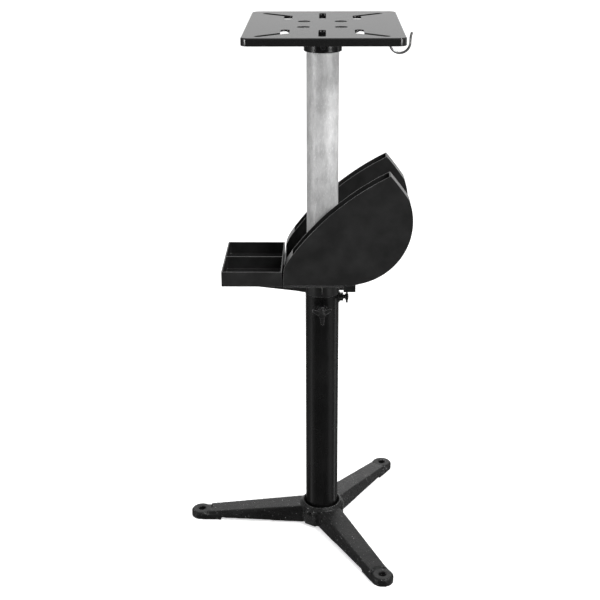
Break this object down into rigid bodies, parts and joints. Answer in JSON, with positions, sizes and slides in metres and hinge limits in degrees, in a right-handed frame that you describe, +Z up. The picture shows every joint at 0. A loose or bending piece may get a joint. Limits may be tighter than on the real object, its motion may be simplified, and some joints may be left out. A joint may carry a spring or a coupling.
{
  "type": "bench grinder pedestal stand",
  "caption": "Height-adjustable pedestal stand for a bench grinder: cast tripod base, telescoping column, slotted plate, tool tray and wheel pockets.",
  "frame": {"origin": "on the floor, at the bottom centre of the whole stand's bounding box", "axes": "+Z up along the column; +X towards the hook and the pockets' high ends, away from the tool tray; -Y towards the operator"},
  "size_m": [0.3974, 0.4344, 0.9225],
  "materials": {
    "cast_black": "black paint over sand-cast iron",
    "tube_black": "semi-gloss black",
    "plate_black": "gloss black",
    "zinc": "dull zinc plated",
    "plastic": "moulded charcoal",
    "black_hardware": "black oxide",
    "knob_metal": "worn black over cast zinc",
    "bright_steel": "plain bright"
  },
  "bodies": {
    "stand": {"tripod_base": "cast_black", "base_set_screw_1": "black_hardware", "base_set_screw_2": "black_hardware", "base_set_screw_3": "black_hardware", "outer_tube": "tube_black", "front_weld_nut": "tube_black", "side_weld_nut": "tube_black"},
    "holder": {"holder_bracket": "plastic", "front_wheel_pocket": "plastic", "rear_wheel_pocket": "plastic", "tool_tray": "plastic", "pocket_screw_1": "black_hardware", "pocket_screw_2": "black_hardware", "pocket_screw_3": "black_hardware", "pocket_screw_4": "black_hardware", "tray_screw_1": "black_hardware", "tray_screw_2": "black_hardware"},
    "front_lock_screw": {"front_lock_stud": "black_hardware", "front_lock_knob": "knob_metal"},
    "side_lock_screw": {"side_lock_stud": "black_hardware", "side_lock_knob": "knob_metal"},
    "inner_column": {"inner_tube": "zinc"},
    "head": {"flange_casting": "cast_black", "flange_set_screw": "black_hardware", "machine_plate": "plate_black", "plate_screw_1": "black_hardware", "plate_screw_2": "black_hardware", "plate_screw_3": "black_hardware", "plate_screw_4": "black_hardware", "plate_nut_1": "bright_steel", "plate_nut_2": "bright_steel", "plate_nut_3": "bright_steel", "plate_nut_4": "bright_steel", "tool_hook": "bright_steel"}
  },
  "joints": [
    {"name": "column_height", "type": "slide", "parent": "stand", "child": "inner_column", "axis": [0, 0, 1], "range_m": [-0.175, 0.06]},
    {"name": "head_swivel", "type": "hinge", "parent": "inner_column", "child": "head", "pos_m": [0.0492, 0.00464, 0.9], "axis": [0, 0, 1], "continuous": true},
    {"name": "holder_swivel", "type": "hinge", "parent": "stand", "child": "holder", "pos_m": [0.0492, 0.00464, 0.48], "axis": [0, 0, 1], "range_deg": [-135, 135]},
    {"name": "front_lock_turn", "type": "hinge", "parent": "stand", "child": "front_lock_screw", "pos_m": [0.0492, -0.04536, 0.438], "axis": [0, -1, 0], "range_deg": [0, 540]},
    {"name": "side_lock_turn", "type": "hinge", "parent": "stand", "child": "side_lock_screw", "pos_m": [0.0892, 0.00464, 0.451], "axis": [1, 0, 0], "range_deg": [0, 540]}
  ]
}
